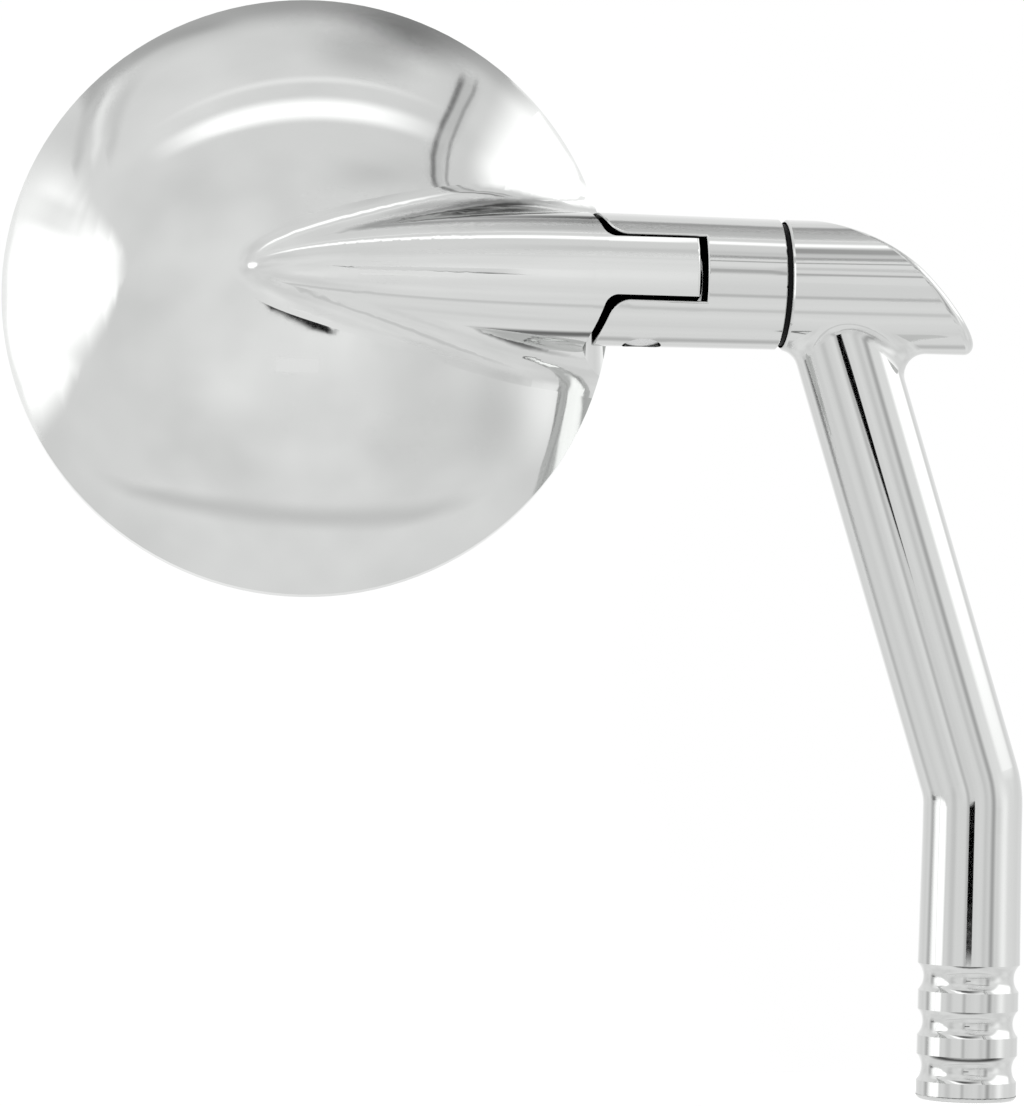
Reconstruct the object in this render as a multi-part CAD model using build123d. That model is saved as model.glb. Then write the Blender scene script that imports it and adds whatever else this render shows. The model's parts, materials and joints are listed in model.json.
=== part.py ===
from build123d import *
from math import acos, cos, degrees, radians, sqrt, tan
import os

# A round chrome motorcycle mirror on a bent stem, seen from its domed back.
# The stem carries a round arm stub. A knuckle turns on the stub about the arm axis, and the
# mirror head tilts in the knuckle's fork on a pin that crosses the arm.
# Frame: origin at the centre of the stem's foot, +Z up the lower stem, +X away from the head
# along the arm, +Y towards the glass. All sizes are millimetres, all angles degrees.

# Stem: a bent round bar with a grooved foot and a tapped hole
STEM_R = 8.25
STEM_LEAN = 18.0
BEND_RISE = 6.75
BEND_R = 15.0
FOOT_R = 8.5
FLARE_LENGTH = 22.0
LAND_R = 8.35
LAND_WIDTH = 3.1
GROOVE_WIDTH = 4.35
GROOVE_DEPTH = 0.85
GROOVE_COUNT = 3
FOOT_EDGE_R = 0.8
MOUNT_THREAD_R = 3.45
MOUNT_THREAD_DEPTH = 20.0
DRILL_POINT_ANGLE = 118.0

# Elbow: the arm stub on top of the stem, with a nose that slopes down to a tip
ARM_Z = 134.1
ARM_R = 10.75
SWIVEL_FACE_OFFSET = 7.25
NOSE_ARC_R = 30.0
NOSE_ARC_OFFSET = 6.0
NOSE_ARC_TURN = 46.0
NOSE_TAIL_R = 120.0
NOSE_RISE = 0.2
NOSE_EDGE_R = 1.3
STEM_FILLET_R = 3.6
EDGE_BREAK = 0.35

# Swivel: a socket screw with spring washers clamps the knuckle against a friction washer
SWIVEL_GAP = 0.8
SWIVEL_WASHER_INSET = 0.7
SWIVEL_SCREW_R = 2.5
SWIVEL_HEAD_R = 4.25
SWIVEL_HEAD_LENGTH = 5.0
SWIVEL_HEX = 4.0
SWIVEL_HEX_DEPTH = 2.5
SWIVEL_THREAD_DEPTH = 12.0
FLAT_WASHER_R = 4.7
FLAT_WASHER_THICKNESS = 1.1
SPRING_WASHER_R = 4.75
SPRING_WASHER_THICKNESS = 0.5
SPRING_WASHER_CONE = 0.2
COUNTERBORE_CLEARANCE = 0.3
HEAD_RECESS = 0.4

# Knuckle: a fork with rounded ears
NECK_FLARE = 0.25
KNUCKLE_WALL = 13.4
SLOT_TO_PIN = 9.4
EAR_CENTRE_OFFSET = 11.5
EAR_END_R = 19.6
EAR_CORNER_R = 2.4
FORK_EDGE_R = 0.3

# Head pivot: a plain pin through both ears, with a bush in the tongue and a washer on each side
PIN_R = 3.17
PIN_RECESS = 0.6
BUSH_WALL = 1.2
UPPER_WASHER = 0.4
LOWER_WASHER = 0.55
PIVOT_WASHER_R = 6.4

# Tongue of the head, between the ears
TONGUE_THICKNESS = 9.8
TONGUE_RISE = 0.3
TONGUE_REACH = 8.2
TONGUE_NEAR_R = 0.5
TONGUE_FAR_R = 6.0
TONGUE_ROOT_R = 1.5
SHOULDER_GAP = 1.4
EAR_RELIEF = 3.0

# Head: a spherical dome with a bullet-shaped fairing that runs into the neck
HEAD_ROLL = -10.0
HEAD_TURN = -4.8
RIM_TO_PIN = 2.6
RIM_WALL = 2.1
RIM_BAND = 3.0
RIM_EDGE_R = 0.5
DOME_HEIGHT = 22.0
DOME_WALL = 3.0
CROWN_RISE = 3.4
FAIRING_PAST_CENTRE = 13.0
FAIRING_TO_PIN = 9.2
FAIRING_FILLET_R = 8.0
FAIRING_OVERRUN = 9.0
FAIRING_RUNOUT = 14.0

# Glass, its foam tape and its sealing bead
GLASS_R = 47.25
GLASS_THICKNESS = 2.0
GLASS_CURVE_R = 1200.0
GLASS_SETBACK = 0.8
GLASS_EDGE_BREAK = 0.25
TAPE_WIDTH = 3.6
TAPE_THICKNESS = 0.8
BEAD_WIDTH = 1.25
BEAD_HEIGHT = 2.2

# Clearances
RUNNING_FIT = 0.04
SEAT_PLAY = 0.02

# Places worked out from the sizes above
GROOVE_PITCH = LAND_WIDTH + GROOVE_WIDTH
FOOT_TOP_Z = GROOVE_COUNT * GROOVE_PITCH
BEND_Z = FOOT_TOP_Z + FLARE_LENGTH + BEND_RISE
MEET_X = -(ARM_Z - BEND_Z) * tan(radians(STEM_LEAN))
NECK_R = ARM_R + NECK_FLARE
SWIVEL_X = MEET_X - SWIVEL_FACE_OFFSET
KNUCKLE_END_X = SWIVEL_X - SWIVEL_GAP
SLOT_X = KNUCKLE_END_X - KNUCKLE_WALL
PIN_X = SLOT_X - SLOT_TO_PIN
EAR_CENTRE_X = PIN_X + EAR_CENTRE_OFFSET
SHOULDER_R = EAR_END_R + SHOULDER_GAP
TONGUE_END_X = PIN_X + TONGUE_REACH
TONGUE_TOP = TONGUE_RISE + TONGUE_THICKNESS / 2
TONGUE_BOTTOM = TONGUE_TOP - TONGUE_THICKNESS
SLOT_TOP = TONGUE_TOP + UPPER_WASHER
SLOT_BOTTOM = TONGUE_BOTTOM - LOWER_WASHER
SEAT_R = GLASS_R + BEAD_WIDTH
RIM_R = SEAT_R + RIM_WALL
RIM_Y = DOME_HEIGHT + RIM_BAND - CROWN_RISE
HEAD_X = PIN_X - RIM_TO_PIN - RIM_R
FAIRING_X = PIN_X - FAIRING_TO_PIN
FAIRING_LENGTH = FAIRING_X - HEAD_X + FAIRING_PAST_CENTRE
SPHERE_R = (RIM_R**2 + DOME_HEIGHT**2) / (2 * DOME_HEIGHT)
SPHERE_Y = SPHERE_R - CROWN_RISE
GLASS_SAG = GLASS_CURVE_R - sqrt(GLASS_CURVE_R**2 - GLASS_R**2)
GLASS_EDGE_Y = RIM_Y - GLASS_SETBACK
GLASS_BACK_Y = GLASS_EDGE_Y - GLASS_THICKNESS
LEDGE_Y = GLASS_BACK_Y - TAPE_THICKNESS
CAVITY_R = GLASS_R - TAPE_WIDTH
COUNTERBORE_R = SPRING_WASHER_R + COUNTERBORE_CLEARANCE
SWIVEL_STACK = FLAT_WASHER_THICKNESS + 2 * (SPRING_WASHER_THICKNESS + SPRING_WASHER_CONE)
SWIVEL_HEAD_X = SLOT_X + HEAD_RECESS
SWIVEL_SEAT_X = SWIVEL_HEAD_X + SWIVEL_HEAD_LENGTH + SWIVEL_STACK
ARM_AXIS = Axis((0, 0, ARM_Z), (1, 0, 0))
HEAD_AXIS = Axis((HEAD_X, 0, ARM_Z), (0, 1, 0))
TURN_AXIS = Axis((HEAD_X, RIM_Y, ARM_Z), (0, 0, 1))
FROM_BASE = (Align.CENTER, Align.CENTER, Align.MIN)


def rod_on_arm(radius, start, end, end_radius=None):
    """A round rod, or a cone with another end radius, on the arm axis from X = start to end."""
    last = radius if end_radius is None else end_radius
    points = ((start, 0), (start, -radius), (end, -last), (end, 0))
    profile = Plane((0, 0, ARM_Z)) * make_face(Polyline(*points, close=True))
    return revolve(profile, ARM_AXIS)


def rod_on_pin(radius, bottom, top, x=PIN_X):
    """A round rod along the pivot direction at X = x, from bottom to top about the arm axis."""
    return Pos(x, 0, ARM_Z + bottom) * Cylinder(radius, top - bottom, align=FROM_BASE)


def ring_on_head(inner, outer, start, end):
    """A flat ring about the head's axis, from Y = start to end."""
    points = ((inner, start), (outer, start), (outer, end), (inner, end))
    profile = Plane((HEAD_X, 0, ARM_Z)) * make_face(Polyline(*points, close=True))
    return revolve(profile, HEAD_AXIS)


def as_set(shape):
    """Turn a knuckle or head piece about the arm axis to the angle the mirror is set at."""
    return shape.rotate(ARM_AXIS, HEAD_ROLL)


def turned(shape):
    """Turn a piece made about the head's axis, so that the dome leans off the neck."""
    return shape.rotate(TURN_AXIS, HEAD_TURN)


def stem_foot():
    """Lower stem: grooved foot with rounded bottom edge, then a slight flare into the bar."""
    foot = Cylinder(LAND_R, FOOT_TOP_Z, align=FROM_BASE)
    foot = fillet(foot.edges().sort_by(Axis.Z)[0], FOOT_EDGE_R)
    foot += Pos(0, 0, FOOT_TOP_Z) * Cone(FOOT_R, STEM_R, FLARE_LENGTH, align=FROM_BASE)
    half = GROOVE_WIDTH / 2
    groove_r = (half**2 + GROOVE_DEPTH**2) / (2 * GROOVE_DEPTH)
    groove = Torus(LAND_R - GROOVE_DEPTH + groove_r, groove_r)
    for index in range(GROOVE_COUNT):
        foot -= Pos(0, 0, index * GROOVE_PITCH + LAND_WIDTH + half) * groove
    return foot


def stem_bar():
    """Bent bar from the flare to the arm axis."""
    start = (0, 0, FOOT_TOP_Z + FLARE_LENGTH)
    path = FilletPolyline(start, (0, 0, BEND_Z), (MEET_X, 0, ARM_Z), radius=BEND_R)
    return sweep(Plane(start) * Circle(STEM_R), path)


def nose_outline():
    """Side view of all that lies above the nose: a round shoulder, then a nearly straight slope."""
    top = (MEET_X - NOSE_ARC_OFFSET, ARM_Z + ARM_R + NOSE_RISE)
    shoulder = JernArc(top, (1, 0), NOSE_ARC_R, -NOSE_ARC_TURN)
    drop = 2 * (ARM_R + NOSE_RISE)
    slope_end = cos(radians(NOSE_ARC_TURN)) - drop / NOSE_TAIL_R
    tail_turn = degrees(acos(slope_end)) - NOSE_ARC_TURN
    tail = JernArc(shoulder @ 1, shoulder % 1, NOSE_TAIL_R, -tail_turn)
    low = tail @ 1
    far_x = low.X + ARM_R
    high_z = top[1] + ARM_R
    sides = Polyline(low, (far_x, low.Y), (far_x, high_z), (top[0], high_z), top)
    return shoulder + tail + sides


def elbow_stub():
    """Arm stub with the sloping nose: a round bar cut by two arcs and softened along the cut."""
    outline = nose_outline()
    end = outline.bounding_box().max.X
    bar = rod_on_arm(ARM_R, SWIVEL_X - ARM_R, end)
    waste = extrude(Plane.XZ * make_face(outline), 2 * ARM_R, both=True)
    stub = bar - waste
    return fillet(new_edges(bar, waste, combined=stub), NOSE_EDGE_R)


def stem_elbow():
    """Foot, bent bar and arm stub in one piece, with the holes for both fastenings."""
    bar = stem_bar()
    stub = elbow_stub()
    joined = bar + stub
    joined = fillet(new_edges(bar, stub, combined=joined), STEM_FILLET_R)
    joined -= rod_on_arm(2 * ARM_R, SWIVEL_X - 2 * ARM_R, SWIVEL_X)
    face = joined.faces().sort_by(Axis.X)[0]
    joined = chamfer(face.edges(), EDGE_BREAK)
    joined += stem_foot()
    joined -= Cylinder(MOUNT_THREAD_R, MOUNT_THREAD_DEPTH, align=FROM_BASE)
    point = MOUNT_THREAD_R / tan(radians(DRILL_POINT_ANGLE / 2))
    joined -= Pos(0, 0, MOUNT_THREAD_DEPTH) * Cone(MOUNT_THREAD_R, 0, point, align=FROM_BASE)
    hole_end = SWIVEL_X + SWIVEL_THREAD_DEPTH
    return joined - rod_on_arm(SWIVEL_SCREW_R + SEAT_PLAY, SWIVEL_X, hole_end)


def swivel_friction_washer():
    """Thin washer that fills the gap between the arm stub and the knuckle."""
    start = KNUCKLE_END_X + SEAT_PLAY
    end = SWIVEL_X - SEAT_PLAY
    disc = rod_on_arm(ARM_R - SWIVEL_WASHER_INSET, start, end)
    return disc - rod_on_arm(SWIVEL_SCREW_R + RUNNING_FIT, start, end)


def hex_on_arm(across_flats, start, end):
    """A hexagonal bar on the arm axis."""
    bar = extrude(RegularPolygon(across_flats / 2, 6, major_radius=False), end - start)
    return Pos(start, 0, ARM_Z) * Rot(0, 90, 0) * bar


def swivel_screw():
    """Socket-head screw that reaches from the knuckle's slot into the arm stub."""
    head_end = SWIVEL_HEAD_X + SWIVEL_HEAD_LENGTH
    tip = SWIVEL_X + SWIVEL_THREAD_DEPTH - EDGE_BREAK
    head = rod_on_arm(SWIVEL_HEAD_R, SWIVEL_HEAD_X, head_end)
    head = chamfer(head.edges().sort_by(Axis.X)[0], EDGE_BREAK)
    shank = rod_on_arm(SWIVEL_SCREW_R, head_end, tip)
    shank = chamfer(shank.edges().sort_by(Axis.X)[-1], EDGE_BREAK)
    socket = hex_on_arm(SWIVEL_HEX, SWIVEL_HEAD_X, SWIVEL_HEAD_X + SWIVEL_HEX_DEPTH)
    return head + shank - socket


def swivel_flat_washer():
    """Flat washer under the screw's head."""
    start = SWIVEL_HEAD_X + SWIVEL_HEAD_LENGTH
    end = start + FLAT_WASHER_THICKNESS
    disc = rod_on_arm(FLAT_WASHER_R, start, end)
    return disc - rod_on_arm(SWIVEL_SCREW_R + RUNNING_FIT, start, end)


def spring_washer(start, lean):
    """One conical spring washer; lean is +1 where its outer edge stands towards +X."""
    inner = SWIVEL_SCREW_R + RUNNING_FIT
    low = start if lean > 0 else start + SPRING_WASHER_CONE
    rim = low + lean * SPRING_WASHER_CONE
    points = (
        (low, -inner),
        (rim, -SPRING_WASHER_R),
        (rim + SPRING_WASHER_THICKNESS, -SPRING_WASHER_R),
        (low + SPRING_WASHER_THICKNESS, -inner),
    )
    profile = Plane((0, 0, ARM_Z)) * make_face(Polyline(*points, close=True))
    return revolve(profile, ARM_AXIS)


def swivel_spring_washers():
    """Two conical spring washers, set rim to rim, that keep the swivel's friction even."""
    first = SWIVEL_SEAT_X - 2 * (SPRING_WASHER_THICKNESS + SPRING_WASHER_CONE)
    second = first + SPRING_WASHER_THICKNESS + SPRING_WASHER_CONE
    return Compound([spring_washer(first, 1), spring_washer(second, -1)])


def is_ear_corner(edge):
    """True for the edges where the ears' round ends meet the slot's flat sides."""
    height = edge.center().Z - ARM_Z
    on_side = min(abs(height - SLOT_TOP), abs(height - SLOT_BOTTOM)) < EDGE_BREAK
    return on_side and edge.geom_type == GeomType.CIRCLE and edge.center().X < PIN_X


def is_fork_edge(edge):
    """True for the outer edges of the fork, which end before the swivel face."""
    return edge.center().X < SLOT_X + EDGE_BREAK and edge.geom_type != GeomType.LINE


def knuckle():
    """Fork that turns on the arm stub and holds the head's tongue between its ears."""
    body = rod_on_arm(NECK_R, PIN_X - NECK_R, KNUCKLE_END_X, ARM_R)
    body = chamfer(body.edges().sort_by(Axis.X)[-1], EDGE_BREAK)
    body = body & rod_on_pin(EAR_END_R, -2 * NECK_R, 2 * NECK_R, EAR_CENTRE_X)
    slot_height = SLOT_TOP - SLOT_BOTTOM
    slot = Box(EAR_END_R, 4 * NECK_R, slot_height, align=(Align.MAX, Align.CENTER, Align.MIN))
    slot = Pos(SLOT_X, 0, ARM_Z + SLOT_BOTTOM) * slot
    forked = body - slot
    mouth = forked.edges().filter_by(is_ear_corner)
    forked = fillet(mouth, EAR_CORNER_R)
    outside = forked.faces().filter_by(GeomType.CONE).sort_by(SortBy.AREA)[-1]
    forked = fillet(outside.edges().filter_by(is_fork_edge), FORK_EDGE_R)
    forked -= rod_on_arm(COUNTERBORE_R, SLOT_X, SWIVEL_SEAT_X)
    forked -= rod_on_arm(SWIVEL_SCREW_R + RUNNING_FIT, SWIVEL_SEAT_X, KNUCKLE_END_X)
    return as_set(forked - rod_on_pin(PIN_R + SEAT_PLAY, -2 * NECK_R, 2 * NECK_R))


def pivot_pin():
    """Plain pin through both ears, its ends flush with them."""
    half = NECK_R - PIN_RECESS
    pin = rod_on_pin(PIN_R, -half, half)
    return as_set(chamfer(pin.edges().filter_by(GeomType.CIRCLE), EDGE_BREAK))


def pivot_washer(bottom, top):
    """Thin washer between the tongue and one ear."""
    disc = rod_on_pin(PIVOT_WASHER_R, bottom + SEAT_PLAY, top - SEAT_PLAY)
    return as_set(disc - rod_on_pin(PIN_R + RUNNING_FIT, bottom, top))


def pivot_bush():
    """Plain bush pressed into the tongue."""
    sleeve = rod_on_pin(PIN_R + RUNNING_FIT + BUSH_WALL, TONGUE_BOTTOM, TONGUE_TOP)
    return as_set(sleeve - rod_on_pin(PIN_R + RUNNING_FIT, TONGUE_BOTTOM, TONGUE_TOP))


def dome_blank():
    """Solid spherical cap, run on past the rim so that the fairing's fillet has room."""
    reach = RIM_R + FAIRING_OVERRUN
    back_y = SPHERE_Y - sqrt(SPHERE_R**2 - reach**2)
    front_y = SPHERE_Y - SPHERE_R
    half_reach = reach / 2
    middle = (half_reach, SPHERE_Y - sqrt(SPHERE_R**2 - half_reach**2))
    arc = ThreePointArc((0, front_y), middle, (reach, back_y))
    outline = arc + Polyline((reach, back_y), (0, back_y), (0, front_y))
    profile = Plane((HEAD_X, 0, ARM_Z)) * make_face(outline)
    return revolve(profile, HEAD_AXIS), back_y


def fairing_blank(back_y):
    """Bullet-shaped fairing, half round in front and straight-sided behind, run on past the ears."""
    end = EAR_CENTRE_X + FAIRING_RUNOUT
    nose = EllipticalCenterArc((FAIRING_X, 0), FAIRING_LENGTH, NECK_R, 90, arc_size=90)
    edge = Polyline(nose @ 1, (end, 0), (end, NECK_R), nose @ 0)
    quarter = Plane((0, 0, ARM_Z), (1, 0, 0), (0, -1, 0)) * make_face(nose + edge)
    front = revolve(quarter, ARM_AXIS, 180)
    bullet = EllipticalCenterArc((FAIRING_X, 0), FAIRING_LENGTH, NECK_R, 90, arc_size=180)
    tail = Polyline(bullet @ 1, (end, -NECK_R), (end, NECK_R), bullet @ 0)
    outline = Plane((0, 0, ARM_Z), (1, 0, 0), (0, -1, 0)) * make_face(bullet + tail)
    return front + extrude(outline, back_y, dir=(0, 1, 0))


def head_cavity():
    """Hollow of the dome, with the ledge for the tape and the recess for the glass."""
    inner_r = SPHERE_R - DOME_WALL
    front_y = SPHERE_Y - inner_r
    half = CAVITY_R / 2
    middle = (half, SPHERE_Y - sqrt(inner_r**2 - half**2))
    wall = (CAVITY_R, SPHERE_Y - sqrt(inner_r**2 - CAVITY_R**2))
    arc = ThreePointArc((0, front_y), middle, wall)
    steps = Polyline(
        wall,
        (CAVITY_R, LEDGE_Y),
        (SEAT_R, LEDGE_Y),
        (SEAT_R, RIM_Y),
        (0, RIM_Y),
        (0, front_y),
    )
    profile = Plane((HEAD_X, 0, ARM_Z)) * make_face(arc + steps)
    return revolve(profile, HEAD_AXIS)


def ear_space(bottom, top, root):
    """Round space for one ear, with its edge beside the tongue rounded; root is that edge's end."""
    space = rod_on_pin(SHOULDER_R, bottom, top, EAR_CENTRE_X)
    return fillet(space.edges().filter_by(GeomType.CIRCLE).sort_by(Axis.Z)[root], TONGUE_ROOT_R)


def swing_corner():
    """Waste outside the tongue's far corner, which is rounded along the pivot direction."""
    block = Box(2 * TONGUE_FAR_R, 2 * TONGUE_FAR_R, 4 * NECK_R, align=(Align.MIN, Align.MIN, Align.CENTER))
    block -= Cylinder(TONGUE_FAR_R, 4 * NECK_R)
    return Pos(TONGUE_END_X - TONGUE_FAR_R, NECK_R - TONGUE_FAR_R, ARM_Z) * block


def tongue():
    """Tongue that enters the fork: flat sides, flared root, its far corner rounded off to swing."""
    neck = rod_on_arm(NECK_R, FAIRING_X, TONGUE_END_X)
    neck -= ear_space(TONGUE_TOP, 2 * NECK_R, 0)
    neck -= ear_space(-2 * NECK_R, TONGUE_BOTTOM, -1)
    end = neck.faces().sort_by(Axis.X)[-1]
    near_edge = end.edges().filter_by(GeomType.CIRCLE).sort_by(Axis.Y)[0]
    return fillet(near_edge, TONGUE_NEAR_R) - swing_corner()


def shoulder_cut():
    """Round relief in the neck for the ears of the fork."""
    relief = rod_on_pin(SHOULDER_R, -2 * RIM_R, 2 * RIM_R, EAR_CENTRE_X)
    behind = Pos(EAR_CENTRE_X, NECK_R + EAR_RELIEF, ARM_Z)
    keep = Box(4 * SHOULDER_R, 4 * SHOULDER_R, 4 * RIM_R, align=(Align.CENTER, Align.MIN, Align.CENTER))
    return relief - behind * keep


def mirror_shell():
    """Dome, fairing and tongue in one piece, hollow behind the glass."""
    dome, back_y = dome_blank()
    dome = turned(dome)
    fairing = fairing_blank(back_y)
    blank = dome + fairing
    crease = new_edges(dome, fairing, combined=blank)
    blank = fillet(crease.filter_by(lambda edge: edge.center().Y < RIM_Y), FAIRING_FILLET_R)
    trim = ring_on_head(0, RIM_R, -2 * DOME_HEIGHT, RIM_Y)
    trim = fillet(trim.edges().filter_by(GeomType.CIRCLE).sort_by(Axis.Y)[-1], RIM_EDGE_R)
    shell = blank & turned(trim)
    shell -= shoulder_cut()
    shell = shell + tongue()
    shell -= turned(head_cavity())
    bush_r = PIN_R + RUNNING_FIT + BUSH_WALL + SEAT_PLAY
    shell -= rod_on_pin(bush_r, TONGUE_BOTTOM, TONGUE_TOP)
    return as_set(shell)


def glass_drop(radius):
    """How far the glass falls away from its crown at a radius."""
    return GLASS_CURVE_R - sqrt(GLASS_CURVE_R**2 - radius**2)


def mirror_glass():
    """Slightly bulged round mirror glass with its front edge broken."""
    front = GLASS_EDGE_Y + GLASS_SAG
    back = front - GLASS_THICKNESS
    half = GLASS_R / 2
    flat_r = GLASS_R - GLASS_EDGE_BREAK
    flat_y = front - glass_drop(flat_r)
    face = ThreePointArc((0, front), (half, front - glass_drop(half)), (flat_r, flat_y))
    edge = Polyline((flat_r, flat_y), (GLASS_R, flat_y - GLASS_EDGE_BREAK), (GLASS_R, GLASS_BACK_Y))
    rear = ThreePointArc((GLASS_R, GLASS_BACK_Y), (half, back - glass_drop(half)), (0, back))
    outline = face + edge + rear + Line((0, back), (0, front))
    profile = Plane((HEAD_X, 0, ARM_Z)) * make_face(outline)
    return as_set(turned(revolve(profile, HEAD_AXIS)))


def glass_tape():
    """Foam tape ring that bonds the glass to the ledge."""
    start = LEDGE_Y + SEAT_PLAY
    end = GLASS_BACK_Y - SEAT_PLAY
    return as_set(turned(ring_on_head(CAVITY_R, GLASS_R - SEAT_PLAY, start, end)))


def glass_bead():
    """Rubber bead between the edge of the glass and the rim."""
    start = LEDGE_Y + SEAT_PLAY
    inner = GLASS_R + SEAT_PLAY
    bead = ring_on_head(inner, SEAT_R - SEAT_PLAY, start, start + BEAD_HEIGHT)
    return as_set(turned(bead))


def main():
    """Write each piece to its own file."""
    os.makedirs("parts", exist_ok=True)
    pieces = {
        "stem_elbow": stem_elbow(),
        "swivel_friction_washer": swivel_friction_washer(),
        "swivel_screw": swivel_screw(),
        "swivel_flat_washer": swivel_flat_washer(),
        "swivel_spring_washers": swivel_spring_washers(),
        "knuckle": knuckle(),
        "pivot_pin": pivot_pin(),
        "upper_pivot_washer": pivot_washer(TONGUE_TOP, SLOT_TOP),
        "lower_pivot_washer": pivot_washer(SLOT_BOTTOM, TONGUE_BOTTOM),
        "pivot_bush": pivot_bush(),
        "mirror_shell": mirror_shell(),
        "mirror_glass": mirror_glass(),
        "glass_tape": glass_tape(),
        "glass_bead": glass_bead(),
    }
    for name, piece in pieces.items():
        export_step(piece, f"parts/{name}.step")


main()
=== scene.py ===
import json
from itertools import chain, count
from math import cos, pi, radians, sin, tan

import bmesh
import bpy
import numpy as np
from mathutils import Matrix, Vector


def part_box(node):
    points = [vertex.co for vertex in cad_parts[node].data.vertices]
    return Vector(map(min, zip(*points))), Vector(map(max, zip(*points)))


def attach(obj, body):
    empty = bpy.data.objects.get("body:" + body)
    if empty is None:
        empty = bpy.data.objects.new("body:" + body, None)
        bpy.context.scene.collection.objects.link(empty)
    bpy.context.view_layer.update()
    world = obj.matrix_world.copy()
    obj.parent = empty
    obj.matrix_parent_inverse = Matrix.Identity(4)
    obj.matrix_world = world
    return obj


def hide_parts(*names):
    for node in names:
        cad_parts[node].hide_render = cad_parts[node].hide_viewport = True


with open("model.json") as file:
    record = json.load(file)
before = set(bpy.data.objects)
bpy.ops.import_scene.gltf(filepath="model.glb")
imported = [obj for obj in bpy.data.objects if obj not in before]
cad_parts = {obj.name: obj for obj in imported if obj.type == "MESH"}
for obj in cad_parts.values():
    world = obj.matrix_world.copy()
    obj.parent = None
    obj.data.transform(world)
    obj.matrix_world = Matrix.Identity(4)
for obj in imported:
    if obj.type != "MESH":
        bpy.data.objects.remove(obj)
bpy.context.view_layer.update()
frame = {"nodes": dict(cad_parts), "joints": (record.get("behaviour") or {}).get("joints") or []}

bl_info = {
    "name": "Motorcycle mirror",
    "version": (1, 0, 0),
    "blender": (4, 5, 0),
    "location": "View3D > Sidebar > Mirror",
    "description": "Plates, glazes and fastens a round motorcycle mirror and sets its studio",
    "category": "Object",
}

NODES = frame["nodes"]
JOINTS = {joint["name"]: joint for joint in frame["joints"]}
MM = 0.001
BLACK = (0, 0, 0, 1)
WHITE = (1, 1, 1, 1)
# Brightness of the tent, in which a card as bright is lost
TENT_LEVEL = 1.0
# Shares of a screw thread's pitch
THREAD_DEPTH = 0.55
THREAD_ROOT = 0.94
THREAD_CREST = 0.16
# Facets in a turn of a screw's thread and round its body
TURN_STEPS = 40
BODY_SIDES = 72


# Small helpers


def linear(code):
    """An sRGB hex colour as the linear RGBA that a colour socket takes."""
    shares = [int(code[i : i + 2], 16) / 255 for i in (1, 3, 5)]
    curve = [s / 12.92 if s <= 0.04045 else ((s + 0.055) / 1.055) ** 2.4 for s in shares]
    return (*curve, 1.0)


def add(tree, kind, inputs=None, **settings):
    """Add a node: settings are its own properties, inputs are values or sockets linked to it."""
    node = tree.nodes.new(kind)
    for name, value in settings.items():
        setattr(node, name, value)
    for socket, value in (inputs or {}).items():
        if isinstance(value, bpy.types.NodeSocket):
            tree.links.new(value, node.inputs[socket])
        else:
            node.inputs[socket].default_value = value
    return node


def new_material(name):
    """An empty node material and its tree."""
    material = bpy.data.materials.new(name)
    material.use_nodes = True
    material.node_tree.nodes.clear()
    return material, material.node_tree


def finish_material(tree, inputs):
    """Close a material with one Principled shader."""
    shader = add(tree, "ShaderNodeBsdfPrincipled", inputs)
    add(tree, "ShaderNodeOutputMaterial", {"Surface": shader.outputs[0]})


def wear(node, material):
    """Give a CAD node its finish."""
    slots = NODES[node].material_slots
    if slots:
        slots[0].material = material
    else:
        NODES[node].data.materials.append(material)


def along_axis(origin, axis):
    """Matrix that sets a piece made along local Z onto an axis through a point."""
    turn = Vector((0, 0, 1)).rotation_difference(Vector(axis).normalized())
    return Matrix.Translation(Vector(origin)) @ turn.to_matrix().to_4x4()


def span(node, origin, axis):
    """Lowest and highest place of a CAD node along an axis, and its widest radius about it."""
    line = Vector(axis).normalized()
    offsets = [v.co - Vector(origin) for v in NODES[node].data.vertices]
    places = [o.dot(line) for o in offsets]
    widest = max((o - line * p).length for o, p in zip(offsets, places))
    return min(places), max(places), widest


# Settings that a user would change


class PlatingSettings(bpy.types.PropertyGroup):
    """Chrome plate and the thread cut into the stem's foot."""

    colour: bpy.props.FloatVectorProperty(
        name="Plate colour",
        description="Colour of the chrome where it mirrors a white wall",
        subtype="COLOR",
        default=linear("#D0D1D0")[:3],
        min=0,
        max=1,
    )
    roughness: bpy.props.FloatProperty(
        name="Buffing haze",
        description="Mean roughness that the last buffing leaves",
        subtype="FACTOR",
        default=0.045,
        min=0,
        max=1,
    )
    # How close another surface must be for the painted gap shade to darken the plate
    gap_shade_reach: bpy.props.FloatProperty(
        name="Gap reach",
        description="Gaps narrower than this stay bare and dark inside",
        unit="LENGTH",
        default=2.5 * MM,
    )
    thread_pitch: bpy.props.FloatProperty(
        name="Mount thread pitch",
        description="Pitch of the thread in the stem's foot",
        unit="LENGTH",
        default=1.058 * MM,
    )
    thread_bore: bpy.props.FloatProperty(
        name="Mount thread bore",
        description="Radius inside which the thread shows",
        unit="LENGTH",
        default=3.6 * MM,
    )
    thread_depth: bpy.props.FloatProperty(
        name="Mount thread depth",
        description="Height above the foot up to which the thread shows",
        unit="LENGTH",
        default=20.0 * MM,
    )


class GlazingSettings(bpy.types.PropertyGroup):
    """Mirror glass, its tape and its bead."""

    silver: bpy.props.FloatVectorProperty(
        name="Silver colour",
        description="Colour of the silvered face",
        subtype="COLOR",
        default=linear("#EEF1F0")[:3],
        min=0,
        max=1,
    )
    ground_edge: bpy.props.FloatProperty(
        name="Ground edge",
        description="Width of the ground band at the edge of the glass",
        unit="LENGTH",
        default=0.3 * MM,
    )


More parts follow.
